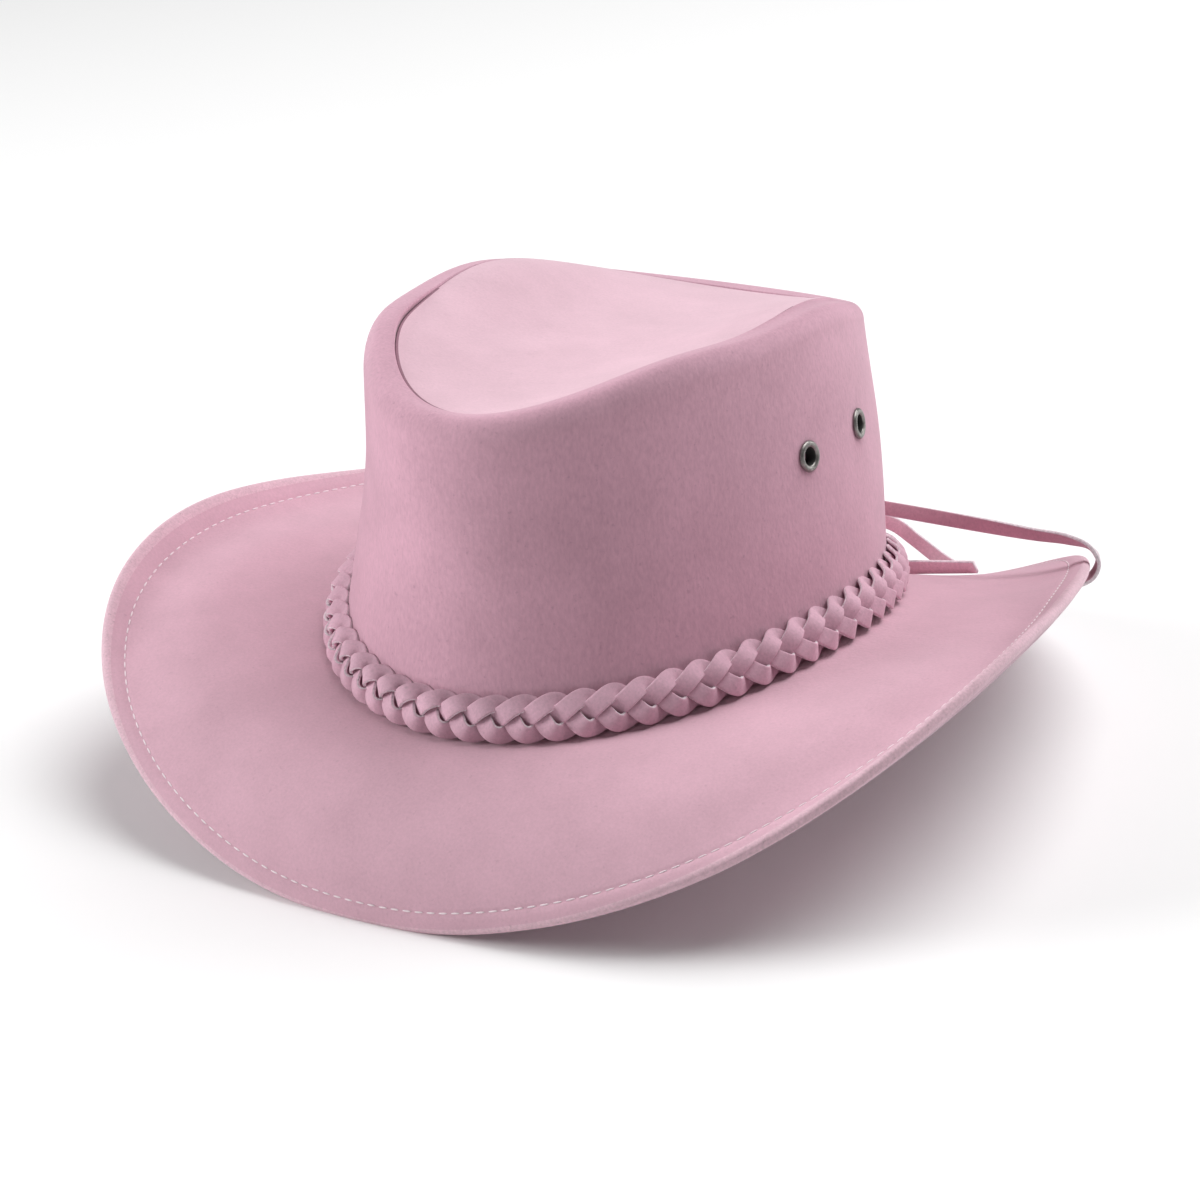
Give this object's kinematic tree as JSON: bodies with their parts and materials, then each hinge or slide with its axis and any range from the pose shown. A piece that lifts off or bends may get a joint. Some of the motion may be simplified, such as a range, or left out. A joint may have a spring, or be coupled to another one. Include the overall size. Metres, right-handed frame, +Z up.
{
  "type": "outback hat",
  "caption": "Wide-brimmed suede leather outback hat with a plaited band, vent eyelets and a leather chin lace.",
  "frame": {"origin": "middle of the hat's footprint on the surface that it rests on, without the chin lace", "axes": "+Z up, -Y the way that the wearer faces, +X towards the wearer's left"},
  "size_m": [0.307, 0.3265, 0.153],
  "materials": {
    "suede": "matt brushed suede, dusty pink",
    "plait": "matt suede strips with pale raw edges",
    "lace": "matt suede lace with pale raw edges",
    "eyelet_metal": "antique gunmetal, satin"
  },
  "bodies": {
    "root": {"brim": "suede", "crown_side": "suede", "crown_top": "suede", "braid_band": "plait", "eyelet_left_front": "eyelet_metal", "eyelet_left_back": "eyelet_metal", "eyelet_right_front": "eyelet_metal", "eyelet_right_back": "eyelet_metal", "chin_lace_left": "lace", "chin_lace_right": "lace", "lace_tail_upper": "lace", "lace_tail_lower": "lace", "lace_knot": "lace"}
  },
  "joints": []
}
